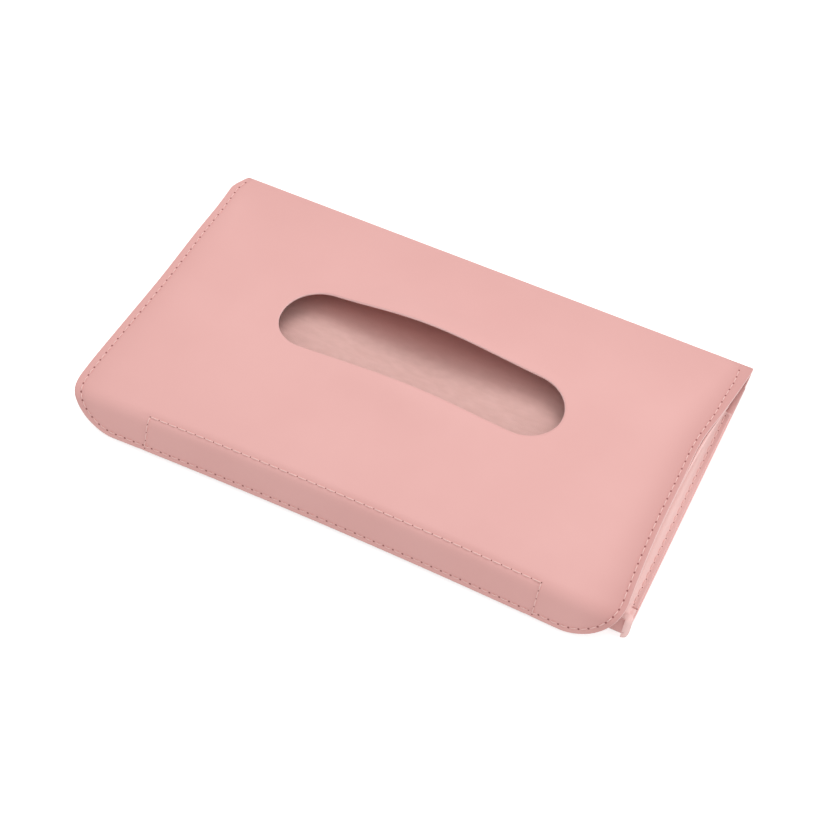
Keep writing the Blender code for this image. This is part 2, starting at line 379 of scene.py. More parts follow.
@dataclass
class PouchSizes:
    """The sizes that the solids were built from, in metres."""

    width: float = 0.235
    spine_y: float = 0.071
    bend_y: float = -0.0655
    mouth_y: float = -0.0715
    lip_y: float = -0.0630
    leather: float = 0.0010
    lining: float = 0.0006
    board: float = 0.0008
    band: float = 0.0013
    magnet: float = 0.0008
    gusset: float = 0.0008
    play: float = 0.0003
    wall_length: float = 0.0145
    mouth_z: float = 0.0028
    mouth_bow: float = 0.0015
    bend_reach: float = 0.0045
    corner: float = 0.0215
    side_bow: float = 0.0043
    side_draw: float = 0.0004
    slot_length: float = 0.1223
    slot_width: float = 0.031
    slot_y: float = 0.0066
    far_lip_rise: float = 0.0073
    near_lip_rise: float = 0.0044
    lip_spread: float = 0.0265
    lip_reach: float = 0.0092
    pocket_length: float = 0.164
    lip_height: float = 0.0065
    side_seam: float = 0.0040
    front_seam: float = 0.0012
    spine_margin: float = 0.0030
    gusset_start_y: float = 0.0470
    gusset_depth_share: float = 0.135
    gusset_seam: float = 0.0006
    band_width: float = 0.025
    band_spacing: float = 0.120
    band_length: float = 0.120
    dome_shares: tuple[float, ...] = (0.0, 0.15, 0.30, 0.50, 0.70, 0.88, 1.0)
    centre_rises: tuple[float, ...] = (0.0, 0.0037, 0.0064, 0.0084, 0.0118, 0.0128, 0.0122)
    side_rises: tuple[float, ...] = (0.0, 0.0027, 0.0057, 0.0081, 0.0098, 0.0097, 0.0077)

    def __post_init__(self) -> None:
        """Works out the heights and lengths that follow from the sizes."""
        self.back_z = self.band + self.play
        self.back_top_z = self.back_z + self.leather + self.board + self.lining + 2 * self.play
        self.front_stack = self.leather + self.play + self.lining
        self.fold_radius = (self.back_top_z + self.play + self.front_stack - self.back_z) / 2
        self.hinge_y = self.spine_y - self.fold_radius
        self.hinge_z = self.back_z + self.fold_radius
        self.fold_top_z = self.hinge_z + self.fold_radius
        self.top_length = self.hinge_y - self.bend_y
        self.path_length = self.top_length + self.wall_length
        self.lip_lean = (self.bend_y - self.mouth_y) / self.wall_length * self.lip_height
        self.lip_inner_y = self.lip_y + self.leather + 2 * self.play + self.magnet + self.lining + self.lip_lean


class Surface:
    """A surface given by two parameters, with an outward normal from finite differences."""

    def point(self, a: np.ndarray, b: np.ndarray) -> np.ndarray:
        """Points of the surface; each kind gives its own formula."""
        raise NotImplementedError

    def relief(self, a: np.ndarray, b: np.ndarray) -> np.ndarray:
        """How far the finished face stands off the plain surface; none here."""
        return np.zeros(np.broadcast(a, b).shape)

    def normal(self, a: np.ndarray, b: np.ndarray) -> np.ndarray:
        """Outward unit normals: the change along b crossed with the change along a.

        Args:
            a: First parameter.
            b: Second parameter.

        Returns:
            Unit normals, one for each pair.
        """
        across = self.point(a + STEP, b) - self.point(a - STEP, b)
        along = self.point(a, b + STEP) - self.point(a, b - STEP)
        normal = np.cross(along, across)
        return normal / np.maximum(np.linalg.norm(normal, axis=-1, keepdims=True), 1e-12)

    def raised(self, a: np.ndarray, b: np.ndarray, lift: np.ndarray | float) -> np.ndarray:
        """Points a distance above the finished face."""
        return self.point(a, b) + self.normal(a, b) * (self.relief(a, b) + lift)[..., None]


@dataclass
class FrontSurface(Surface):
    """The front's outer face, over x and the distance s along the sheet from the hinge line.

    A negative s runs round the spine fold and on under the back.
    """

    sizes: PouchSizes

    def rise(self, rises: tuple[float, ...], share: np.ndarray) -> np.ndarray:
        """Smooth rise through the stated ones: a cubic with central slopes between neighbours.

        Args:
            rises: Rise at each of the dome's shares.
            share: Share of the way from the hinge to the bend.

        Returns:
            The rise at each share.
        """
        shares = np.array(self.sizes.dome_shares)
        heights = np.array(rises)
        last = len(shares) - 1
        low = np.clip(np.arange(last + 1) - 1, 0, last)
        high = np.clip(np.arange(last + 1) + 1, 0, last)
        slopes = (heights[high] - heights[low]) / (shares[high] - shares[low])
        k = np.clip(np.searchsorted(shares, np.maximum(share, 0.0), side="right") - 1, 0, last - 1)
        span = shares[k + 1] - shares[k]
        t = (share - shares[k]) / span
        return (heights[k] * (2 * t**3 - 3 * t**2 + 1) + slopes[k] * span * (t**3 - 2 * t**2 + t)
                + heights[k + 1] * (3 * t**2 - 2 * t**3) + slopes[k + 1] * span * (t**3 - t**2))

    def height(self, x: np.ndarray, y: np.ndarray) -> np.ndarray:
        """Height of the dome: side profile, a crown that fades to the sides, and the slot's proud lips.

        Args:
            x: Place along the length.
            y: Place across.

        Returns:
            Heights of the outer face.
        """
        z = self.sizes
        share = (z.hinge_y - y) / z.top_length
        side, centre = self.rise(z.side_rises, share), self.rise(z.centre_rises, share)
        crown = 1 - np.minimum(np.abs(x) * 2 / z.width, 1) ** 2
        total = z.fold_top_z + side + (centre - side) * crown
        for rise, lip_y in ((z.far_lip_rise, z.slot_y + z.slot_width / 2),
                            (z.near_lip_rise, z.slot_y - z.slot_width / 2)):
            total = total + rise * np.exp(-((x / z.lip_spread) ** 2 + ((y - lip_y) / z.lip_reach) ** 2) / 2)
        return total

    def half_width(self, path: np.ndarray) -> np.ndarray:
        """Half the sheet's width along it: sides bow in, and round corners at the mouth.

        Args:
            path: Distance along the sheet from the hinge line.

        Returns:
            Half widths.
        """
        z = self.sizes
        start = z.path_length - z.corner
        share = np.clip(path, 0.0, start) / z.path_length
        width = z.width / 2 - z.side_bow * np.sin(math.pi * share) - z.side_draw * share**2
        into = np.maximum(path - start, 0.0)
        return width - z.corner + np.sqrt(np.maximum(z.corner**2 - into**2, 0.0))

    def drawn(self, x: np.ndarray, path: np.ndarray) -> np.ndarray:
        """Places after the sewing has drawn the sides in: a bell at mid-side and a step on the right, a bell on the left.

        Both fade to the middle with the fourth power of the place.

        Args:
            x: Place along the length in the flat sheet.
            path: Distance along the sheet.

        Returns:
            Places along the length.
        """
        z = self.sizes
        step = np.clip(path / 0.050, 0, 1)
        right = 0.0013 * np.exp(-((path - 0.047) / 0.015) ** 2) + 0.00055 * step**2 * (3 - 2 * step)
        left = 0.00093 * np.exp(-((path - 0.014) / 0.024) ** 2) * (path > -0.012)
        return x - np.sign(x) * np.where(x > 0, right, left) * np.minimum(np.abs(x) * 2 / z.width, 1) ** 4

    def point(self, a: np.ndarray, b: np.ndarray) -> np.ndarray:
        """Points over the dome, round the bend, down the wall, or round the spine fold.

        Args:
            a: x along the length.
            b: Distance along the sheet from the hinge line.

        Returns:
            Points of the outer face.
        """
        z = self.sizes
        x, path = np.broadcast_arrays(np.asarray(a, float), np.asarray(b, float))
        x = self.drawn(x, path)

        def dome(distance: np.ndarray) -> np.ndarray:
            y = z.hinge_y - distance
            return np.stack([x, y + 0 * x, self.height(x, y + 0 * x)], axis=-1)

        crest = dome(np.full_like(x, z.top_length))
        bow = 1 - np.minimum(np.abs(x) / (z.width / 2 - z.corner), 1) ** 2
        foot = np.stack([x, z.mouth_y + z.mouth_bow * bow, np.full_like(x, z.mouth_z)], axis=-1)

        def wall(distance: np.ndarray) -> np.ndarray:
            return crest + (foot - crest) * (distance / z.wall_length)[..., None]

        t = np.clip((path - z.top_length + z.bend_reach) / (2 * z.bend_reach), 0, 1)[..., None]
        reach = np.full_like(x, z.bend_reach)
        bend = dome(z.top_length - reach) * (1 - t) ** 2 + crest * (2 * t * (1 - t)) + wall(reach) * t**2
        turn = math.pi / 2 + np.clip(path / z.fold_radius, -math.pi, 0)
        run = np.minimum(path + math.pi * z.fold_radius, 0)
        fold = np.stack([x, z.hinge_y + z.fold_radius * np.cos(turn) + run,
                         z.hinge_z + z.fold_radius * np.sin(turn)], axis=-1)
        on_dome = dome(np.clip(path, 0, z.top_length - z.bend_reach))
        on_wall = wall(path - z.top_length)
        beyond = (path >= z.top_length + z.bend_reach)[..., None]
        bending = (path > z.top_length - z.bend_reach)[..., None]
        return np.where((path < 0)[..., None], fold, np.where(beyond, on_wall, np.where(bending, bend, on_dome)))

    def edge_distance(self, x: np.ndarray, path: np.ndarray) -> np.ndarray:
        """Distance in the flat sheet from its side and mouth edges.

        Args:
            x: Place along the length.
            path: Distance along the sheet.

        Returns:
            Distances, the corner's measured from its round edge.
        """
        z = self.sizes
        start = z.path_length - z.corner
        straight = self.half_width(np.minimum(path, start))
        across, along = straight - np.abs(x), z.path_length - path
        round_edge = z.corner - np.hypot(np.maximum(z.corner - across, 0), np.maximum(z.corner - along, 0))
        return np.where((across < z.corner) & (along < z.corner), round_edge, np.minimum(across, along))


@dataclass
class CoverSurface(FrontSurface):
    """The finished front cover: seams pull it down, the pocket is flat, and it is softly uneven."""

    near_inset: float = 0.0018
    left_inset: float = 0.0028
    right_insets: tuple[float, float] = (0.0034, 0.0020)
    spine_inset: float = 0.0019
    seam_depth: float = 0.00028
    seam_width: float = 0.0010
    pocket_top: float = 0.0155
    fold_reaches: tuple[float, float] = (0.0130, 0.0050)
    fold_rounds: tuple[float, float] = (0.0054, 0.0005)
    under_reaches: tuple[float, float] = (0.0125, 0.0600)
    pucker: float = 0.00006

    def drawn(self, x: np.ndarray, path: np.ndarray) -> np.ndarray:
        """Places with the fold's two ends also rounded off on either side of its outermost line."""
        outermost = -self.sizes.fold_radius * math.pi / 2
        total = 0
        for sign, over, under, depth in zip((-1, 1), self.fold_reaches, self.under_reaches, self.fold_rounds):
            away = np.abs(path - outermost)
            near = np.clip(1 - away / np.where(path > outermost, over, under), 0, 1)
            near = 0.85 * near**2 * (3 - 2 * near) + 0.15 * np.clip(1 - away / 0.0025, 0, 1) ** 2
            fade = np.clip(sign * x * 2 / self.sizes.width, 0, 1) ** 14
            total = total - sign * depth * near * fade
        return super().drawn(x, path) + total

    def inset(self, x: np.ndarray, path: np.ndarray) -> np.ndarray:
        """How far in the edge seam runs: one value on the left, two blended on the right, another at the mouth.

        Args:
            x: Place along the length.
            path: Distance along the sheet.

        Returns:
            Distances from the edge.
        """
        z = self.sizes
        step = np.clip((path - 0.014) / 0.022, 0, 1)
        spine, mouth = self.right_insets
        corner = self.spine_inset * np.clip(1 - path / 0.014, 0, 1) ** 2
        side = np.where(x > 0, spine + corner + (mouth - spine) * step**2 * (3 - 2 * step), self.left_inset)
        across = self.half_width(np.minimum(path, z.path_length - z.corner)) - np.abs(x)
        along = z.path_length - path
        share = np.clip(across / np.maximum(across + along, 1e-6), 0, 1)
        return side + (self.near_inset - side) * share

    def relief(self, a: np.ndarray, b: np.ndarray) -> np.ndarray:
        """Relief over the plain surface: a groove at each seam and long shallow waves.

        Args:
            a: x along the length.
            b: Distance along the sheet.

        Returns:
            Height over the plain surface.
        """
        z = self.sizes
        x, path = np.broadcast_arrays(np.asarray(a, float), np.asarray(b, float))
        edge = self.edge_distance(x, path)
        waves = 0.00016 * (np.sin(x * 61 + 0.7) * np.sin(path * 83 + 0.4) + 0.7 * np.sin(x * 112 + path * 47 + 1.9))
        inner = np.clip((edge - 0.006) / 0.02, 0, 1)
        side = np.abs(x) > z.width / 2 - z.corner
        run = np.where(side, path, x)
        off = edge - self.inset(x, path)
        pucker = self.pucker * np.cos(run * 2 * math.pi / 0.0040) * np.exp(-(off / 0.0022) ** 2)
        groove = -self.seam_depth * np.exp(-(off / self.seam_width) ** 2) + pucker
        top = z.path_length - self.pocket_top
        half = z.pocket_length / 2
        within = (np.abs(x) < half + 0.0004).astype(float)
        pocket = -0.00022 * np.exp(-((path - top) / self.seam_width) ** 2) * within
        ends = -0.00018 * np.exp(-((np.abs(x) - half) / self.seam_width) ** 2) * (path > top)
        return (waves * inner + groove + pocket + ends) * (path > 0)


@dataclass
class OffsetSurface(Surface):
    """A surface a fixed depth inside another, following it."""

    carrier: FrontSurface
    depth: float

    def point(self, a: np.ndarray, b: np.ndarray) -> np.ndarray:
        """Points of the carrier moved in along its normals."""
        return self.carrier.point(a, b) - self.carrier.normal(a, b) * self.depth


@dataclass
class BackSurface(Surface):
    """The back's outer face, over x and the distance b from its spine end to the lip's top."""

    sizes: PouchSizes
    start_y: float = 0.0622
    corner_pulls: tuple[float, float] = (0.0026, 0.0010)

    def __post_init__(self) -> None:
        """Works out where the sheet turns up into the lip."""
        self.turn_radius = 2 * self.sizes.leather
        self.flat = self.start_y - self.sizes.lip_y - self.turn_radius
        self.turn_length = self.turn_radius * math.pi / 2
        self.lip = math.hypot(self.sizes.lip_height - self.turn_radius, self.sizes.lip_lean)
        self.length = self.flat + self.turn_length + self.lip

    def point(self, a: np.ndarray, b: np.ndarray) -> np.ndarray:
        """Points along the flat, round a quarter circle and up the leaning lip.

        Args:
            a: x along the length.
            b: Distance along the sheet from its spine end.

        Returns:
            Points of the outer face.
        """
        z = self.sizes
        x, path = np.broadcast_arrays(np.asarray(a, float), np.asarray(b, float))
        near_lip = np.clip((path - self.flat) / 0.008 + 1, 0, 1)
        pull = np.where(x > 0, self.corner_pulls[1], self.corner_pulls[0])
        x = x * (1 - 2 * pull / z.width * near_lip**2 * np.minimum(np.abs(x) * 2 / z.width, 1) ** 4)
        turn = np.clip((path - self.flat) / self.turn_radius, 0, math.pi / 2)
        up = np.maximum(path - self.flat - self.turn_length, 0) / self.lip
        y = (self.start_y - np.minimum(path, self.flat) - self.turn_radius * np.sin(turn) + z.lip_lean * up)
        height = z.back_z + self.turn_radius * (1 - np.cos(turn)) + (z.lip_height - self.turn_radius) * up
        return np.stack([x, y, height], axis=-1)

    def normal(self, a: np.ndarray, b: np.ndarray) -> np.ndarray:
        """Outward normals, down and out of the mouth."""
        return -super().normal(a, b)

    def relief(self, a: np.ndarray, b: np.ndarray) -> np.ndarray:
        """A groove at the seam along both sides and before the lip."""
        x, path = np.broadcast_arrays(np.asarray(a, float), np.asarray(b, float))
        sides = np.exp(-((self.sizes.width / 2 - np.abs(x) - 0.0022) / 0.0009) ** 2)
        return -0.0002 * sides * (path < self.flat)


@dataclass
class PlaneSurface(Surface):
    """A flat surface at one height, over x and y, facing up or down."""

    level: float
    up: bool = True

    def point(self, a: np.ndarray, b: np.ndarray) -> np.ndarray:
        """Points at the level."""
        x, y = np.broadcast_arrays(np.asarray(a, float), np.asarray(b, float))
        return np.stack([x, y, np.full_like(x, self.level)], axis=-1)

    def normal(self, a: np.ndarray, b: np.ndarray) -> np.ndarray:
        """Straight up or down."""
        x, _ = np.broadcast_arrays(np.asarray(a, float), np.asarray(b, float))
        normal = np.zeros(x.shape + (3,))
        normal[..., 2] = 1.0 if self.up else -1.0
        return normal


@dataclass
class LineSurface(Surface):
    """A surface swept by a polyline section that changes from station to station.

    The section runs over a from 0 to 1, rounded at its corners, and b is y.
    """

    section: object
    outward: float = 1.0

    def point(self, a: np.ndarray, b: np.ndarray) -> np.ndarray:
        """Points of the rounded section at each station."""
        share, y = np.broadcast_arrays(np.asarray(a, float), np.asarray(b, float))
        knots, xs, zs = self.section(y)
        return np.stack([soft_line(share, knots, xs), y, soft_line(share, knots, zs)], axis=-1)

    def normal(self, a: np.ndarray, b: np.ndarray) -> np.ndarray:
        """Outward normals, turned to the side that the piece's face is on."""
        share = np.clip(a, 0.002, 0.998)
        return self.outward * super().normal(share, b)


def soft_line(share: np.ndarray, knots: np.ndarray, values: list[np.ndarray]) -> np.ndarray:
    """Value along a polyline, averaged over a short window so that its corners are rounded.

    Args:
        share: Place along it, from 0 to 1.
        knots: Share at each corner.
        values: Value at each corner, an array for each.

    Returns:
        The softened values.
    """
    total = np.zeros(share.shape)
    window = np.linspace(-0.025, 0.025, 5)
    for shift in window:
        place = np.clip(share + shift, 0, 1)
        k = np.clip(np.searchsorted(knots, place, side="right") - 1, 0, len(knots) - 2)
        low = np.choose(k, values[:-1])
        high = np.choose(k, values[1:])
        total += low + (high - low) * (place - knots[k]) / (knots[k + 1] - knots[k])
    return total / len(window)


def new_piece(name: str, points: np.ndarray, faces: list[tuple[int, ...]], finish: bpy.types.Material,
              marks: dict[str, np.ndarray] | None = None, sharp: float = 55.0) -> bpy.types.Object:
    """Makes a smooth-shaded mesh object at the origin.

    Args:
        name: The piece's name.
        points: Its vertices.
        faces: Its faces as vertex numbers.
        finish: Its material.
        marks: Named values from 0 to 1 for each vertex, such as how much of a cut edge it is.
        sharp: Angle in degrees past which an edge stays sharp.

    Returns:
        The object.
    """
    mesh = bpy.data.meshes.new(name)
    mesh.from_pydata(points.reshape(-1, 3).tolist(), [], faces)
    for mark, values in (marks or {}).items():
        layer = mesh.attributes.new(mark, "FLOAT", "POINT")
        layer.data.foreach_set("value", values.reshape(-1).astype(np.float32))
    mesh.materials.append(finish)
    mesh.shade_smooth()
    mesh.set_sharp_from_angle(angle=math.radians(sharp))
    mesh.validate()
    piece = bpy.data.objects.new(name, mesh)
    bpy.context.scene.collection.objects.link(piece)
    return piece


def grid_faces(rows: int, columns: int, wrap_rows: bool, wrap_columns: bool) -> np.ndarray:
    """Quads of a grid numbered row by row, which may close on itself either way.

    Args:
        rows: Number of rows.
        columns: Vertices in a row.
        wrap_rows: Whether the last row joins the first.
        wrap_columns: Whether each row's end joins its start.

    Returns:
        Vertex numbers, four to a quad.
    """
    i = np.arange(rows if wrap_rows else rows - 1)[:, None]
    j = np.arange(columns if wrap_columns else columns - 1)[None, :]
    i2, j2 = (i + 1) % rows, (j + 1) % columns
    return np.stack(np.broadcast_arrays(i * columns + j, i2 * columns + j, i2 * columns + j2, i * columns + j2),
                    axis=-1).reshape(-1, 4)


def sheet_piece(name: str, surface: Surface, a: np.ndarray, b: np.ndarray, thickness: float,
                finish: bpy.types.Material, ring: bool = False, bulge: float = 0.5,
                painted_shade: np.ndarray | None = None) -> bpy.types.Object:
    """A closed sheet of even thickness behind a surface, with rounded edges.

    Each column of the grid becomes a closed section: the outer face, a rounded rim, the inner face
    and a second rim. Columns join into a ring, or end in flat caps.

    Args:
        name: The piece's name.
        surface: The outer face.
        a: First parameter over a grid of columns and rows.
        b: Second parameter over the same grid.
        thickness: The sheet's thickness.
        finish: Its material.
        ring: Whether the last column joins the first.
        bulge: How round the rims are, from 0, square, to 1, half round.
        painted_shade: How far each point of the grid is taken to the finish's darker tone, which is painted shade.

    Returns:
        The piece.
    """
    normal = surface.normal(a, b)
    outer = surface.point(a, b) + normal * surface.relief(a, b)[..., None]
    inner = outer - normal * thickness
    steps = 3
    turns = [math.pi * (k + 1) / (steps + 1) for k in range(steps)]

    def rim(at: int, beside: int, order: list[float]) -> list[np.ndarray]:
        out = outer[:, at] - outer[:, beside]
        out = out / np.maximum(np.linalg.norm(out, axis=-1, keepdims=True), 1e-9)
        middle = (outer[:, at] + inner[:, at]) / 2
        half = thickness / 2
        return [middle + out * (half * bulge * math.sin(t)) + normal[:, at] * (half * math.cos(t)) for t in order]

    far = np.stack(rim(-1, -2, turns), axis=1)
    near = np.stack(rim(0, 1, turns[::-1]), axis=1)
    section = np.concatenate([outer, far, inner[:, ::-1], near], axis=1)
    columns, loop = section.shape[:2]
    rows = outer.shape[1]
    faces = grid_faces(columns, loop, ring, True)
    edge, painted_shade_values = np.zeros((columns, loop)), np.zeros((columns, loop))
    edge[:, rows:rows + steps] = 1
    edge[:, -steps:] = 1
    # Painted shade marks go on the outer face only.
    if painted_shade is not None:
        painted_shade_values[:, :rows] = painted_shade
    quads = faces.tolist()
    if not ring:
        for column, flip in ((0, False), (columns - 1, True)):
            start = column * loop
            i = np.arange(rows - 1)
            opposite = 2 * rows + steps - 1 - i
            caps = (start + np.stack([i, i + 1, opposite - 1, opposite], axis=-1)).tolist()
            caps.append([start + rows - 1 + i for i in range(steps + 2)])
            caps.append([start + 2 * rows + steps - 1 + i for i in range(steps + 1)] + [start])
            quads += [cap[::-1] if flip else cap for cap in caps]
            edge[column] = 1
    piece = face_outwards(new_piece(name, section, quads, finish, {"cut_edge": edge, "painted_shade": painted_shade_values}))
    return piece


def face_outwards(piece: bpy.types.Object) -> bpy.types.Object:
    """Turns a closed mesh's faces out if its signed volume is negative.

    Args:
        piece: The piece to look at.

    Returns:
        The same piece.
    """
    mesh = piece.data
    mesh.calc_loop_triangles()
    points = np.zeros(len(mesh.vertices) * 3)
    mesh.vertices.foreach_get("co", points)
    points = points.reshape(-1, 3)
    corners = np.zeros(len(mesh.loop_triangles) * 3, dtype=np.int32)
    mesh.loop_triangles.foreach_get("vertices", corners)
    a, b, c = (points[corners.reshape(-1, 3)[:, k]] for k in range(3))
    if np.einsum("ij,ij->i", a, np.cross(b, c)).sum() < 0:
        mesh.flip_normals()
    return piece


@dataclass
class SlotRing:
    """Grid between the slot's outline and a sheet's outline, in the flat sheet.

    Rays join points at like shares of the two outlines, which are each split into four sides.
    """

    sizes: PouchSizes
    long_columns: int = 150
    short_columns: int = 100
    grow: float = 0.0

    def slot_edge(self) -> np.ndarray:
        """The slot's stadium outline from its near right shoulder, as x and path, in four sides.

        Returns:
            Points round the slot.
        """
        z = self.sizes
        radius = z.slot_width / 2 + self.grow
        straight = (z.slot_length - z.slot_width) / 2
        middle = z.hinge_y - z.slot_y

        def cap(sign: int, first: int, last: int) -> np.ndarray:
            turns = np.linspace(first, last, 40) * math.pi / 4
            return np.stack([sign * straight + radius * np.cos(turns), middle - radius * np.sin(turns)], axis=-1)

        far = np.concatenate([cap(1, 1, 2), cap(-1, 2, 3)])
        near = np.concatenate([cap(-1, 5, 6), cap(1, -2, -1)])
        return np.concatenate([resample(cap(1, -1, 1), self.short_columns), resample(far, self.long_columns),
                               resample(cap(-1, 3, 5), self.short_columns), resample(near, self.long_columns)])

    def sheet_edge(self, front: FrontSurface, first: float, last: float, margin: float,
                   rounded: bool) -> np.ndarray:
        """The sheet's outline in the same four sides, as x and path.

        Args:
            front: Gives the sheet's half widths.
            first: Distance along the sheet of its spine end.
            last: Distance of its mouth end.
            margin: How far its sides lie inside the cover's.
            rounded: Whether its mouth corners are round.

        Returns:
            Points round the sheet.
        """
        corner = self.sizes.corner if rounded else 0.0
        straight_end = last - corner

        def right(path: np.ndarray) -> np.ndarray:
            return np.stack([front.half_width(path) - margin, path], axis=-1)

        if rounded:
            turns = np.linspace(math.pi / 4, 0, 24, endpoint=False)
            arc = straight_end + corner * np.sin(turns)
        else:
            arc = np.empty(0)
        rise = np.concatenate([arc, np.linspace(straight_end, first, 60)])
        right_side = resample(right(rise), self.short_columns)
        far_x = front.half_width(np.array(first)) - margin
        far_side = np.stack([np.linspace(far_x, -far_x, self.long_columns, endpoint=False),
                             np.full(self.long_columns, first)], axis=-1)
        left_side = resample(np.flip(right(rise), axis=0) * (-1, 1), self.short_columns)
        if rounded:
            turns = np.linspace(math.pi / 4, math.pi / 2, 24)
            path = straight_end + corner * np.sin(turns)
            half = np.stack([front.half_width(path) - margin, path], axis=-1)
            near = np.concatenate([half * (-1, 1), np.flip(half, axis=0)])
        else:
            near = np.array([[-(front.half_width(np.array(last)) - margin), last],
                             [front.half_width(np.array(last)) - margin, last]])
        return np.concatenate([right_side, far_side, left_side, resample(near, self.long_columns)])

    def grid(self, outline: np.ndarray, rows: np.ndarray) -> tuple[np.ndarray, np.ndarray]:
        """Straight rays from the slot's edge to an outline.

        Args:
            outline: Points round the sheet.
            rows: Shares of the way along a ray, from 0 to 1.

        Returns:
            x and path over columns and rows.
        """
        inner = self.slot_edge()[:, None, :]
        grid = inner + (outline[:, None, :] - inner) * rows[None, :, None]
        return grid[..., 0], grid[..., 1]


def resample(line: np.ndarray, count: int) -> np.ndarray:
    """Evenly spaced points along a polyline, without its last point.

    Args:
        line: Points of the polyline.
        count: How many points.

    Returns:
        The new points.
    """
    run = np.concatenate([[0], np.cumsum(np.linalg.norm(np.diff(line, axis=0), axis=1))])
    at = np.linspace(0, run[-1], count, endpoint=False)
    return np.stack([np.interp(at, run, line[:, k]) for k in range(2)], axis=-1)


@dataclass
class Seam:
    """One line of lockstitch on a surface, along a line in its two parameters."""

    surface: Surface
    line: np.ndarray
    pitch: float = 0.0040
    thread_radius: float = 0.00029
    lift: float = 0.00022
    hole_radius: float = 0.00040
    reach: float = 0.90

    def needle_points(self) -> np.ndarray:
        """Where the needle went through, a pitch apart.

        Returns:
            Pairs of parameters.
        """
        run = np.concatenate([[0], np.cumsum(np.linalg.norm(np.diff(self.line, axis=0), axis=1))])
        count = max(2, round(run[-1] / self.pitch) + 1)
        at = np.linspace(0, run[-1], count)
        return np.stack([np.interp(at, run, self.line[:, k]) for k in range(2)], axis=-1)

    def threads(self) -> tuple[np.ndarray, np.ndarray]:
        """Each stitch as a bent tube that dips into its two holes.

        Its middle line rises as a half sine over the surface, and its radius shrinks at its ends.

        Returns:
            Vertices of all stitches, and their faces.
        """
        along, around = 7, 6
        points = self.needle_points()
        share = np.linspace(0.5 - self.reach / 2, 0.5 + self.reach / 2, along)
        flat = points[:-1, None, :] + (points[1:] - points[:-1])[:, None, :] * share[None, :, None]
        a, b = flat[..., 0], flat[..., 1]
        arch = np.sin(math.pi * np.linspace(0.05, 0.95, along))
        lift = (self.lift * (1.6 * arch**0.6 - 0.9))[None, :] + 0 * a
        middle = self.surface.raised(a, b, lift)
        normal = self.surface.normal(a, b)
        run = np.gradient(middle, axis=1)
        run /= np.linalg.norm(run, axis=-1, keepdims=True)
        beside = np.cross(normal, run)
        turn = np.linspace(0, 2 * math.pi, around, endpoint=False)
        radius = (self.thread_radius * (0.45 + 0.55 * arch**0.5))[None, :, None, None]
        ring = (np.cos(turn)[None, None, :, None] * normal[:, :, None, :]
                + np.sin(turn)[None, None, :, None] * beside[:, :, None, :])
        vertices = middle[:, :, None, :] + ring * radius
        tube = grid_faces(along, around, False, True)
        starts = np.arange(len(a)) * along * around
        quads = (tube[None] + starts[:, None, None]).reshape(-1, 4).tolist()
        first_cap = starts[:, None] + np.arange(around)[::-1]
        last_cap = starts[:, None] + (along - 1) * around + np.arange(around)
        return vertices.reshape(-1, 3), quads + first_cap.tolist() + last_cap.tolist()

    def holes(self) -> tuple[np.ndarray, list[list[int]]]:
        """Each needle hole as a small dark lens in the surface.

        Returns:
            Vertices of all holes, and their faces.
        """
        around = 8
        points = self.needle_points()
        a, b = points[:, 0], points[:, 1]
        centre = self.surface.raised(a, b, 0.00010 + 0 * a)
        normal = self.surface.normal(a, b)
        side = np.cross(normal, np.array([0.31, 0.95, 0.05]))
        side /= np.linalg.norm(side, axis=-1, keepdims=True)
        up = np.cross(normal, side)
        turn = np.linspace(0, 2 * math.pi, around, endpoint=False)
        ring = (np.cos(turn)[None, :, None] * side[:, None, :] + np.sin(turn)[None, :, None] * up[:, None, :])
        rim = centre[:, None, :] + ring * self.hole_radius - normal[:, None, :] * 0.00003
        top, bottom = centre + normal * 0.00001, centre - normal * 0.00040
        vertices = np.concatenate([rim, top[:, None], bottom[:, None]], axis=1)
        this = np.arange(around)
        after = (this + 1) % around
        upper = np.stack([this, after, np.full(around, around)], axis=-1)
        lower = np.stack([after, this, np.full(around, around + 1)], axis=-1)
        starts = np.arange(len(a))[:, None, None] * (around + 2)
        faces = (np.concatenate([upper, lower])[None] + starts).reshape(-1, 3)
        return vertices.reshape(-1, 3), faces.tolist()


def sew(name: str, seams: list[Seam], body: str, finishes: Finishes) -> list[bpy.types.Object]:
    """Makes the threads and the needle holes of several seams as two pieces.

    Args:
        name: Start of the pieces' names.
        seams: The seams.
        body: The body that they ride on.
        finishes: The pouch's finishes.

    Returns:
        The two pieces.
    """
    pieces = []
    for word, finish, part in (("threads", finishes.thread, Seam.threads), ("needle_holes", finishes.hole, Seam.holes)):
        points, faces, start = [], [], 0
        for seam in seams:
            vertices, cells = part(seam)
            points.append(vertices)
            faces += [[start + v for v in cell] for cell in cells]
            start += len(vertices)
        piece = face_outwards(new_piece(f"{name}_{word}", np.concatenate(points), faces, finish, sharp=80))
        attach(piece, body)
        pieces.append(piece)
    return pieces


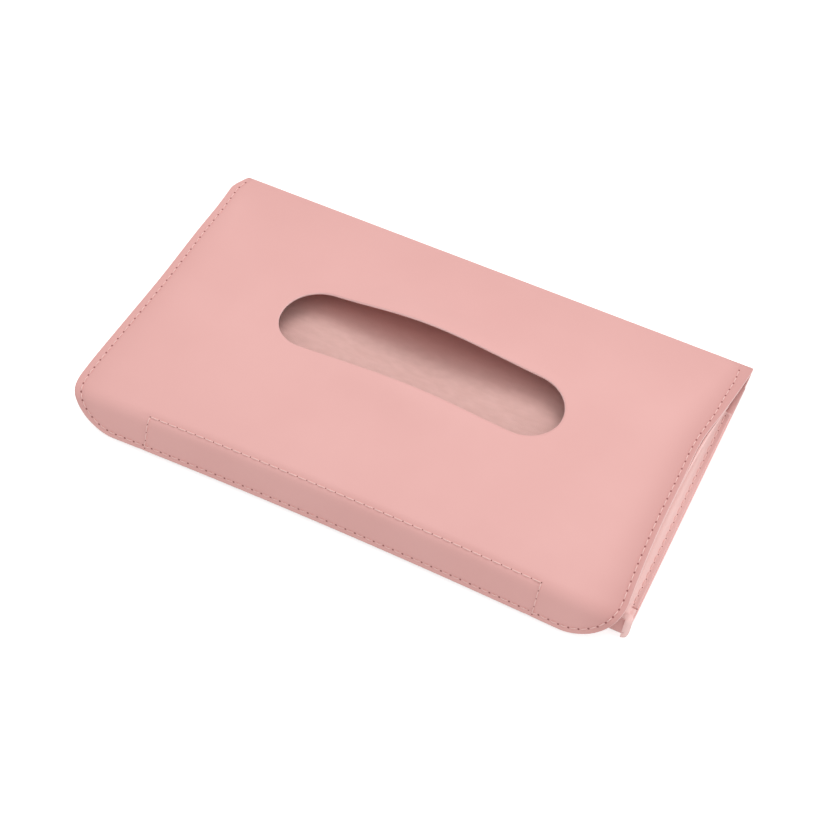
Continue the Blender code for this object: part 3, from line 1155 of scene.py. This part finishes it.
@dataclass
class FrontFlap:
    """The domed front: cover with its spine fold, lining, magnet pocket and their seams."""

    sizes: PouchSizes
    finishes: Finishes
    back_strip: float = 0.0062
    cloth_gap: float = 0.00005
    lining_set_back: float = 0.0008
    pocket_shift: float = 0.0016

    def build(self) -> None:
        """Builds and dresses every piece of the flap."""
        self.cover_surface = CoverSurface(self.sizes)
        self.cover()
        self.lining()
        self.pocket_facing()
        self.seams()

    def cover(self) -> None:
        """The cover, from the slot's edge out to its own edges, carried round the spine."""
        z = self.sizes
        ring = SlotRing(z)
        first = -math.pi * z.fold_radius - self.back_strip
        outline = ring.sheet_edge(self.cover_surface, first, z.path_length, 0.0, True)
        inner = np.linspace(0, 0.90, 62, endpoint=False)
        rows = np.concatenate([inner, np.linspace(0.90, 1, 20)])
        a, b = ring.grid(outline, rows)
        across = self.cover_surface.half_width(np.clip(b, 0, z.path_length - z.corner)) - np.abs(a)
        # Painted shade: the cover is taken to its darker tone along its sides, more on the right, and near the spine
        # fold.
        flanks = np.exp(-(across / 0.0090) ** 2) * np.where(a > 0, 1.0, 0.45)
        painted_shade = np.maximum(flanks, 0.30 * np.exp(-(np.maximum(b, 0) / 0.025) ** 2))
        piece = sheet_piece("front_cover", self.cover_surface, a, b, z.leather, self.finishes.cover,
                            ring=True, painted_shade=painted_shade)
        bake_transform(piece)
        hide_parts("front_panel")

    def lining(self) -> None:
        """The backing cloth, cut with the same slot."""
        z = self.sizes
        ring = SlotRing(z, 110, 60, self.lining_set_back)
        outline = ring.sheet_edge(self.cover_surface, z.spine_margin, z.top_length - z.bend_reach,
                                  z.front_seam, False)
        a, b = ring.grid(outline, np.linspace(0, 1, 40))
        surface = OffsetSurface(self.cover_surface, z.leather + self.cloth_gap)
        piece = sheet_piece("front_backing_cloth", surface, a, b, z.lining + z.play - self.cloth_gap,
                            self.finishes.front_lining, ring=True, bulge=0.2)
        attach(piece, "flap")
        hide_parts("front_lining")

    def pocket_facing(self) -> None:
        """The facing that closes the magnet pocket inside the mouth's wall."""
        z = self.sizes
        surface = OffsetSurface(self.cover_surface, z.leather + z.magnet + 2 * z.play)
        path = np.linspace(z.top_length + 0.0005, z.top_length + 0.92 * z.wall_length, 14)
        x = np.linspace(-z.pocket_length / 2, z.pocket_length / 2, 90)
        a, b = np.meshgrid(x, path, indexing="ij")
        piece = sheet_piece("mouth_pocket_facing", surface, a, b, z.lining, self.finishes.front_lining)
        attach(piece, "flap")
        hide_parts("flap_magnet_facing")

    def seams(self) -> None:
        """The seam round the cover's edge and the magnet pocket's seam."""
        z = self.sizes
        cover = self.cover_surface
        straight_end = z.path_length - z.corner
        sides = np.linspace(0.0022, straight_end, 80)
        turns = np.linspace(0, math.pi / 2, 30)[1:]
        centre_x = float(cover.half_width(np.array(straight_end))) - z.corner
        way = np.concatenate([np.stack([cover.half_width(sides) - z.corner, sides], axis=-1),
                              np.tile([centre_x, straight_end], (len(turns), 1))])
        out = np.concatenate([np.tile([1.0, 0.0], (len(sides), 1)),
                              np.stack([np.cos(turns), np.sin(turns)], axis=-1)])

        def run(sign: int) -> np.ndarray:
            line = way + out * (z.corner - cover.near_inset)
            depth = cover.inset(sign * line[:, 0], line[:, 1])
            return (way + out * (z.corner - depth)[:, None]) * (sign, 1)

        right, left = run(1), run(-1)
        edge = np.concatenate([left, np.flip(right, axis=0)])
        top = z.path_length - cover.pocket_top
        half = z.pocket_length / 2
        low = z.path_length - 0.0010
        pocket = np.array([[-half, low], [-half, top], [half, top], [half, low]]) + (self.pocket_shift, 0)
        runs = [Seam(cover, pocket[k:k + 2], lift=0.00028, hole_radius=0.00026) for k in range(3)]
        sew("flap_edge", [Seam(cover, edge, thread_radius=0.00027, hole_radius=0.00040, reach=0.66)], "flap", self.finishes)
        sew("flap_pocket", runs, "flap", self.finishes)


@dataclass
class BackPanel:
    """The flat back with its upturned lip, what is layered on it, and its two elastic bands."""

    sizes: PouchSizes
    finishes: Finishes
    flange_seam: float = 0.0022

    def build(self) -> None:
        """Builds and dresses every piece of the back."""
        self.surface = BackSurface(self.sizes)
        self.cover()
        self.linings()
        self.lip_ends()
        for side in Side:
            self.band(side)
        self.seams()

    def cover(self) -> None:
        """The back's cover, flat and then up into the lip."""
        z = self.sizes
        s = self.surface
        path = np.concatenate([np.linspace(0, s.flat, 60, endpoint=False),
                               s.flat + np.linspace(0, s.turn_length, 8, endpoint=False),
                               s.flat + s.turn_length + np.linspace(0, s.lip, 6)])
        edge = np.linspace(z.width / 2 - 0.006, z.width / 2, 13)
        x = np.concatenate([-edge[::-1], np.linspace(-edge[0], edge[0], 120)[1:-1], edge])
        a, b = np.meshgrid(x, path, indexing="ij")
        piece = sheet_piece("back_cover", s, a, b, z.leather, self.finishes.cover)
        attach(piece, "back")
        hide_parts("back_panel")

    def linings(self) -> None:
        """The back's lining and the facing of the lip's magnet pocket."""
        z = self.sizes
        half = z.width / 2 - z.side_seam
        x = np.linspace(-half, half, 120)
        y = np.linspace(z.hinge_y - z.spine_margin, z.lip_inner_y, 70)
        a, b = np.meshgrid(x, y, indexing="ij")
        # Painted shade: the lining is taken to a darker, redder tone under the slot's far lip and beyond, more towards
        # the left.
        deep = np.clip((b - 0.012) / 0.018, 0, 1)
        painted_shade = deep**2 * (3 - 2 * deep) * np.clip(0.70 - 4.5 * a, 0.3, 1)
        piece = sheet_piece("back_backing_cloth", LiningPad(z), a, b, z.lining, self.finishes.lining,
                            painted_shade=painted_shade)
        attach(piece, "back")
        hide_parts("back_lining")
        depth = z.leather + z.magnet + 2 * z.play
        low, high = depth, z.lip_height - z.play
        x = np.linspace(-z.pocket_length / 2, z.pocket_length / 2, 90)
        rise = np.linspace(low, high, 8)
        a, b = np.meshgrid(x, rise, indexing="ij")
        piece = sheet_piece("lip_pocket_facing", LipFacing(z, depth), a, b, z.lining, self.finishes.lining)
        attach(piece, "back")
        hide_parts("lip_magnet_facing")

    def lip_ends(self) -> None:
        """The facing carried on from the pocket to each corner, and the fold that wraps each end of the lip."""
        z = self.sizes
        depth = z.leather + z.magnet + 2 * z.play
        for side in Side:
            wrap = LipWrap(z, side)
            facing_end = wrap.ends[side is Side.RIGHT] - wrap.inner_leg + 0.0012
            x = side.value * np.linspace(z.pocket_length / 2 + 0.0004, facing_end, 60)
            a, b = np.meshgrid(x, np.linspace(depth, z.lip_height - z.play, 12), indexing="ij")
            along, up = np.meshgrid(np.linspace(0, wrap.length, 48), np.linspace(0, 1, 24) ** 0.7, indexing="ij")
            # The lip's ends wear the gusset's finish, whose paler pink is painted light.
            pieces = (
                sheet_piece(f"{side.word}_lip_end_facing", LipFacing(z, depth), a, b,
                            depth + z.lining - z.leather - 0.0001, self.finishes.gusset, bulge=0.9),
                sheet_piece(f"{side.word}_lip_end_wrap", wrap, along, up, wrap.thickness, self.finishes.gusset,
                            bulge=0.9))
            for piece in pieces:
                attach(piece, "back")

    def band(self, side: Side) -> None:
        """One elastic band, slightly thinner at its edges.

        Args:
            side: Which band.
        """
        z = self.sizes
        middle = side.value * z.band_spacing / 2
        x = middle + np.linspace(-z.band_width / 2, z.band_width / 2, 40)
        y = np.linspace(-z.band_length / 2, z.band_length / 2, 90)
        a, b = np.meshgrid(x, y, indexing="ij")
        piece = sheet_piece(f"{side.word}_elastic_band", BandSurface(z, middle), a, b, z.band, self.finishes.web)
        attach(piece, "back")
        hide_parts(f"{side.word}_visor_band")

    def seams(self) -> None:
        """The seams of the back's outer face and of the bands' ends."""
        z = self.sizes
        x = z.width / 2 - self.flange_seam
        spine, mouth = 0.0, self.surface.flat - 0.004
        line = np.array([[-x, spine], [-x, mouth], [x, mouth], [x, spine]])
        runs = [Seam(self.surface, line[k:k + 2]) for k in range(3)]
        sew("back_edge", runs, "back", self.finishes)
        ends = []
        for side in Side:
            middle = side.value * z.band_spacing / 2
            surface = BandSurface(z, middle)
            across = z.band_width / 2 - 0.002
            for end in (-1, 1):
                for inset in surface.seam_insets:
                    y = end * (z.band_length / 2 - inset)
                    ends.append(Seam(surface, np.array([[middle - across, y], [middle + across, y]]), pitch=0.003,
                                     thread_radius=0.0002, lift=0.0001))
        sew("band_end", ends, "back", self.finishes)


@dataclass
class LiningPad(Surface):
    """The back's lining: flat, and softly quilted by the board's edges under it."""

    sizes: PouchSizes

    def point(self, a: np.ndarray, b: np.ndarray) -> np.ndarray:
        """Points of the lining's upper face, a little uneven."""
        x, y = np.broadcast_arrays(np.asarray(a, float), np.asarray(b, float))
        level = self.sizes.back_top_z - 0.0001 + 0.00008 * np.sin(x * 90 + 1.1) * np.sin(y * 130)
        return np.stack([x, y, level], axis=-1)

    def normal(self, a: np.ndarray, b: np.ndarray) -> np.ndarray:
        """Upward normals."""
        return -super().normal(a, b)


@dataclass
class LipFacing(Surface):
    """The inner face of the lip's magnet pocket, over x and height."""

    sizes: PouchSizes
    depth: float

    def point(self, a: np.ndarray, b: np.ndarray) -> np.ndarray:
        """Points of the inner face, leaning in with the lip."""
        z = self.sizes
        x, rise = np.broadcast_arrays(np.asarray(a, float), np.asarray(b, float))
        y = z.lip_y + self.depth + z.lining + z.lip_lean * rise / z.lip_height
        return np.stack([x, y, z.back_z + rise], axis=-1)


@dataclass
class LipWrap(Surface):
    """Cloth folded round an end of the lip, over the distance along its plan and the share of its height.

    The plan is a U: inner leg, half circle and short outer leg. It leans with the lip.
    """

    sizes: PouchSizes
    side: Side
    thickness: float = 0.0007
    radius: float = 0.0023
    ends: tuple[float, float] = (0.1140, 0.1157)
    inner_leg: float = 0.0060
    outer_leg: float = 0.0003

    def __post_init__(self) -> None:
        """Works out the length of the plan."""
        self.length = self.inner_leg + math.pi * self.radius + self.outer_leg

    def point(self, a: np.ndarray, b: np.ndarray) -> np.ndarray:
        """Points of the outer face: round the plan, and up from a foot that steps over the back's margin."""
        z = self.sizes
        run, up = np.broadcast_arrays(np.asarray(a, float), np.asarray(b, float))
        turn = np.clip((run - self.inner_leg) / self.radius, 0, math.pi)
        cap = np.sqrt(1 - np.clip((up - 0.75) / 0.2502, 0, 1) ** 2)
        radius = self.radius * cap
        back = np.minimum(run - self.inner_leg, 0) - np.maximum(run - self.length + self.outer_leg, 0)
        x = self.ends[self.side is Side.RIGHT] + radius * np.sin(turn) + np.where(turn > 0, -np.abs(back), back)
        middle = z.lip_y + (z.leather + z.magnet + 2 * z.play + z.lining) / 2 - 0.0010 * (1 - cap)
        share = np.clip(turn / math.pi * 2 - 0.5, 0, 1)
        foot = 0.0042 - 0.0024 * share**2 * (3 - 2 * share)
        height = foot + (z.back_z + z.lip_height + 0.0005 - foot) * up
        y = middle + radius * np.cos(turn) + z.lip_lean * np.clip((height - z.back_z) / z.lip_height, 0, 1)
        return np.stack([self.side.value * x, y, height], axis=-1)

    def normal(self, a: np.ndarray, b: np.ndarray) -> np.ndarray:
        """Normals away from the lip."""
        return super().normal(a, b) * self.side.value


@dataclass
class BandSurface(Surface):
    """A band's lower face, with selvedges that roll off."""

    sizes: PouchSizes
    middle: float
    seam_insets: tuple[float, float] = (0.0030, 0.0070)
    pull: float = 0.00048

    def point(self, a: np.ndarray, b: np.ndarray) -> np.ndarray:
        """Points of the lower face: flat, rolled up at both edges and pulled in as bells along its seams."""
        z = self.sizes
        x, y = np.broadcast_arrays(np.asarray(a, float), np.asarray(b, float))
        edge = np.clip((np.abs(x - self.middle) - z.band_width / 2 + 0.001) / 0.001, 0, 1)
        end = z.band_length / 2 - np.abs(y)
        seams = sum(np.exp(-((end - inset) / 0.0013) ** 2) for inset in self.seam_insets)
        return np.stack([x, y, 0.00012 * edge**2 + self.pull * seams], axis=-1)

    def normal(self, a: np.ndarray, b: np.ndarray) -> np.ndarray:
        """Straight down."""
        return PlaneSurface(0.0, up=False).normal(a, b)


@dataclass
class SideGusset:
    """One folding side: a lower half sewn to the back's margin and an upper half under the front's edge."""

    sizes: PouchSizes
    finishes: Finishes
    side: Side
    turn_share: float = 0.014
    tuck_share: float = 0.042
    strip_start_y: float = -0.0520

    def build(self) -> None:
        """Builds the two halves and the seam on the back's margin."""
        self.front = FrontSurface(self.sizes)
        self.half("lower", self.lower_section, "back", self.lower_span())
        self.half("upper", self.upper_section, "flap", self.upper_span())
        self.facing_strip()
        self.margin_seam()

    def hinges(self, y: np.ndarray) -> tuple[np.ndarray, ...]:
        """The two seams of the gusset at each station, and its crease.

        Args:
            y: Stations.

        Returns:
            x and z of the lower seam, of the upper seam and of the crease.
        """
        z = self.sizes
        low_x = np.full_like(y, z.width / 2 - z.side_seam - z.gusset_seam)
        low_z = np.full_like(y, z.back_top_z + z.play + z.gusset / 2)
        high_x = self.front.half_width(z.hinge_y - y) - z.front_seam - z.gusset_seam
        high_z = self.front.height(high_x, y) - z.front_stack - z.play - z.gusset / 2
        crease_x = np.minimum(low_x, high_x) - z.gusset_depth_share * (z.hinge_y - y)
        return low_x, low_z, high_x, high_z, crease_x, (low_z + high_z) / 2

    def lower_section(self, y: np.ndarray) -> tuple[np.ndarray, list, list]:
        """Section of the lower half: margin on the back, step up over the lining, slope, crease, tuck.

        Args:
            y: Stations.

        Returns:
            Shares of the corners, and their x and z.
        """
        z = self.sizes
        low_x, low_z, _, _, crease_x, crease_z = self.hinges(y)
        gap = (z.gusset + z.play) / 2
        margin_z = np.full_like(y, z.back_z + z.leather + 0.0001 + z.gusset / 2)
        distance = z.hinge_y - y
        turn_x = crease_x - 0.0008 - self.turn_share * distance
        length = self.tuck_share * distance
        xs = [np.full_like(y, z.width / 2 - 0.0005), low_x + 0.0018, low_x, crease_x, turn_x,
              turn_x - length * 0.54]
        zs = [margin_z, margin_z, low_z, crease_z - gap, crease_z - 0.8 * gap, crease_z + length * 0.84]
        return np.array([0, 0.10, 0.20, 0.70, 0.80, 1.0]), [self.side.value * x for x in xs], zs

    def upper_section(self, y: np.ndarray) -> tuple[np.ndarray, list, list]:
        """Section of the upper half: margin under the front's edge, slope, crease.

        Args:
            y: Stations.

        Returns:
            Shares of the corners, and their x and z.
        """
        z = self.sizes
        _, _, high_x, high_z, crease_x, crease_z = self.hinges(y)
        gap = (z.gusset + z.play) / 2
        edge_x = self.front.half_width(z.hinge_y - y) - 0.0004
        edge_z = self.front.height(edge_x, y) - z.leather - 0.0001 - z.gusset / 2
        xs = [edge_x, high_x + 0.0009, high_x - 0.0012, crease_x + 0.0012]
        zs = [edge_z, edge_z - 0.0002, high_z - 0.0001, crease_z + gap]
        return np.array([0, 0.10, 0.24, 1.0]), [self.side.value * x for x in xs], zs

    def lower_span(self) -> tuple[float, float]:
        """Where the lower half turns from the back's margin to its own body, as x."""
        z = self.sizes
        hinge = z.width / 2 - z.side_seam - z.gusset_seam
        return hinge + 0.0012, hinge - 0.0012

    def upper_span(self) -> tuple[float, float]:
        """Where the upper half turns from the front's margin to its own body, as x."""
        return 0.1140, 0.1116

    def half(self, word: str, section: object, carrier: str, span: tuple[float, float]) -> None:
        """Builds one half from its section.

        Args:
            word: lower or upper.
            section: Gives the half's section at each station.
            carrier: The body that it is sewn to; not used.
            span: x where it leaves the carrier and where it wholly follows its own body; not used.
        """
        z = self.sizes
        name = f"{self.side.word}_gusset_{word}"
        y = np.linspace(z.gusset_start_y, z.lip_inner_y + z.play, 90)
        a, b = np.meshgrid(y, np.linspace(0, 1, 40), indexing="ij")
        surface = LineSurface(section)
        middle = surface.point(b, a)
        normal = surface.normal(b, a)
        shell = PointGrid(middle + normal * z.gusset / 2, normal)
        # Painted shade: on the lower half only, the margin and, towards the spine end, the slope are taken to the
        # darker tone.
        spread = np.interp(b, (0.08, 0.11, 0.15, 0.19), (1.0, 0.38, 0.40, 0.0))
        margin = np.interp(b, (0.07, 0.10), (1.0, 0.0))
        painted_shade_ramp = np.clip(0.645 + 13.4 * a, 0, 1)
        painted_shade = (spread * painted_shade_ramp + margin * np.clip(0.7 - painted_shade_ramp, 0, 1)) * (word == "lower")
        piece = sheet_piece(f"{name}_fold", shell, a, b, z.gusset, self.finishes.gusset, painted_shade=painted_shade)
        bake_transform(piece)
        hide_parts(name)

    def facing_strip(self) -> None:
        """The end of the lip's facing, laid over the gusset's margin and sewn down with it."""
        z = self.sizes
        y = np.linspace(self.strip_start_y, z.lip_inner_y - 0.0002, 14)
        a, b = np.meshgrid(y, np.linspace(0.006, 0.19, 12), indexing="ij")
        surface = LineSurface(self.lower_section)
        normal = surface.normal(b, a)
        normal = normal * np.sign(normal[..., 2:])
        raised = surface.point(b, a) + normal * (z.gusset / 2 + 0.00005 + z.lining)
        piece = sheet_piece(f"{self.side.word}_lip_facing_end", PointGrid(raised, normal), a, b, z.lining,
                            self.finishes.gusset)
        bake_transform(piece)

    def margin_seam(self) -> None:
        """The seam that holds the gusset's margin to the back's, and a painted shadow line across the margin's end."""
        z = self.sizes
        x = self.side.value * (z.width / 2 - 0.0024)
        level = z.back_z + z.leather + 0.0001 + z.gusset
        low = z.width / 2 - z.side_seam + 0.0002
        line = np.array([[x, z.gusset_start_y - 0.002], [x, self.strip_start_y + 0.002]])
        # Painted shadow: a close row of dark needle holes across the margin's end stands in for the shadow at the step
        # where the facing strip begins.
        gap_shadow_y = self.strip_start_y + 0.0005
        gap_shadow_line = np.array([[self.side.value * (z.width / 2 - 0.0007), gap_shadow_y], [self.side.value * low, gap_shadow_y]])
        runs = [Seam(PlaneSurface(level), line, hole_radius=0.00034),
                Seam(PlaneSurface(level), gap_shadow_line, pitch=0.0004, hole_radius=0.00042)]
        sew(f"{self.side.word}_margin", runs, "back", self.finishes)


@dataclass
class PointGrid(Surface):
    """A surface already worked out on the grid that it is asked for."""

    points: np.ndarray
    normals: np.ndarray

    def point(self, a: np.ndarray, b: np.ndarray) -> np.ndarray:
        """The stored points."""
        return self.points

    def normal(self, a: np.ndarray, b: np.ndarray) -> np.ndarray:
        """The stored normals."""
        return self.normals


@dataclass
class Studio:
    """Pale floor, soft light and the camera at the photograph's angle."""

    azimuth: float = 25.288
    elevation: float = 53.963
    roll: float = 1.118
    distance: float = 0.7274
    focal_pixels: float = 1836.6
    target: tuple[float, float, float] = (0.00287, -0.00394, 0.0)
    image_width: int = 828

    def build(self) -> None:
        """Builds the whole studio."""
        self.camera()
        self.floor()
        self.lamps()
        self.world()
        bpy.context.scene.view_settings.view_transform = "Standard"

    def camera(self) -> None:
        """The camera: back, right and up from azimuth, elevation and roll."""
        a, e, r = (math.radians(v) for v in (self.azimuth, self.elevation, self.roll))
        back = Vector((math.sin(a) * math.cos(e), -math.cos(a) * math.cos(e), math.sin(e)))
        level = Vector((math.cos(a), math.sin(a), 0))
        raised = back.cross(level)
        right = level * math.cos(r) + raised * math.sin(r)
        up = raised * math.cos(r) - level * math.sin(r)
        data = bpy.data.cameras.new("camera")
        data.sensor_width = 36
        data.lens = self.focal_pixels / self.image_width * data.sensor_width
        data.clip_start = 0.01
        camera = bpy.data.objects.new("camera", data)
        place = Vector(self.target) + back * self.distance
        turn = Matrix((right, up, back)).transposed().to_4x4()
        camera.matrix_world = Matrix.Translation(place) @ turn
        bpy.context.scene.collection.objects.link(camera)
        bpy.context.scene.camera = camera

    def floor(self) -> None:
        """A pale floor that reads as white to the camera and keeps the shadow."""
        size = 6.0
        points = np.array([[-size, -size, 0], [size, -size, 0], [size, size, 0], [-size, size, 0]], float)
        points[:, 2] = -0.00005
        material = bpy.data.materials.new("studio_floor")
        material.use_nodes = True
        desk = NodeDesk(material)
        tree = material.node_tree
        tree.nodes.remove(tree.nodes["Principled BSDF"])
        diffuse = desk.add("BsdfDiffuse", Color=(0.80, 0.80, 0.80, 1))
        glow = desk.add("Emission", Color=(1, 1, 1, 1))
        seen = desk.between(desk.add("LightPath").outputs["Is Camera Ray"], 0.0, 0.66)
        desk.join(seen, glow.inputs["Strength"])
        total = desk.add("AddShader")
        desk.join(diffuse.outputs[0], total.inputs[0])
        desk.join(glow.outputs[0], total.inputs[1])
        desk.join(total.outputs[0], tree.nodes["Material Output"].inputs["Surface"])
        floor = new_piece("studio_floor", points, [(0, 1, 2, 3)], material)

    def lamps(self) -> None:
        """Large soft lamps: one over the pouch, one beside it."""
        lamps = (("top_lamp", (0.05, 0.60, 1.20), 0.8, 5.2), ("side_lamp", (1.1, -0.25, 0.45), 0.7, 1.0))
        for name, place, size, power in lamps:
            data = bpy.data.lights.new(name, "AREA")
            data.shape = "DISK"
            data.size = size
            data.energy = power
            lamp = bpy.data.objects.new(name, data)
            lamp.location = place
            lamp.rotation_euler = (-Vector(place)).to_track_quat("-Z", "Y").to_euler()
            bpy.context.scene.collection.objects.link(lamp)

    def world(self) -> None:
        """An even pale surround, white where the camera sees it."""
        world = bpy.data.worlds.new("studio")
        bpy.context.scene.world = world
        world.use_nodes = True
        desk = NodeDesk(world)
        seen = desk.between(desk.add("LightPath").outputs["Is Camera Ray"], 0.765, 1.0)
        background = world.node_tree.nodes["Background"]
        background.inputs["Color"].default_value = (1, 1, 1, 1)
        desk.join(seen, background.inputs["Strength"])


def dress_kept_nodes(frame: dict, finishes: Finishes) -> None:
    """Gives the solids that stay their own finishes.

    Args:
        frame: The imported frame.
        finishes: The pouch's finishes.
    """
    kept = {"back_board": finishes.board, "flap_magnet_strip": finishes.magnet,
            "lip_magnet_strip": finishes.magnet}
    for name, finish in kept.items():
        node = frame["nodes"][name]
        node.data.materials.clear()
        node.data.materials.append(finish)
        LOG.info("dressed %s", name)


def main() -> None:
    """Loads the solids, dresses them and sets the studio."""
    logging.basicConfig(level=logging.INFO, format="%(message)s")
    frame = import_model()
    sizes = PouchSizes()
    finishes = Finishes()
    dress_kept_nodes(frame, finishes)
    for part in (FrontFlap(sizes, finishes), BackPanel(sizes, finishes),
                 SideGusset(sizes, finishes, Side.LEFT), SideGusset(sizes, finishes, Side.RIGHT), Studio()):
        part.build()
        LOG.info("built %s", type(part).__name__)


if __name__ == "__main__":
    main()
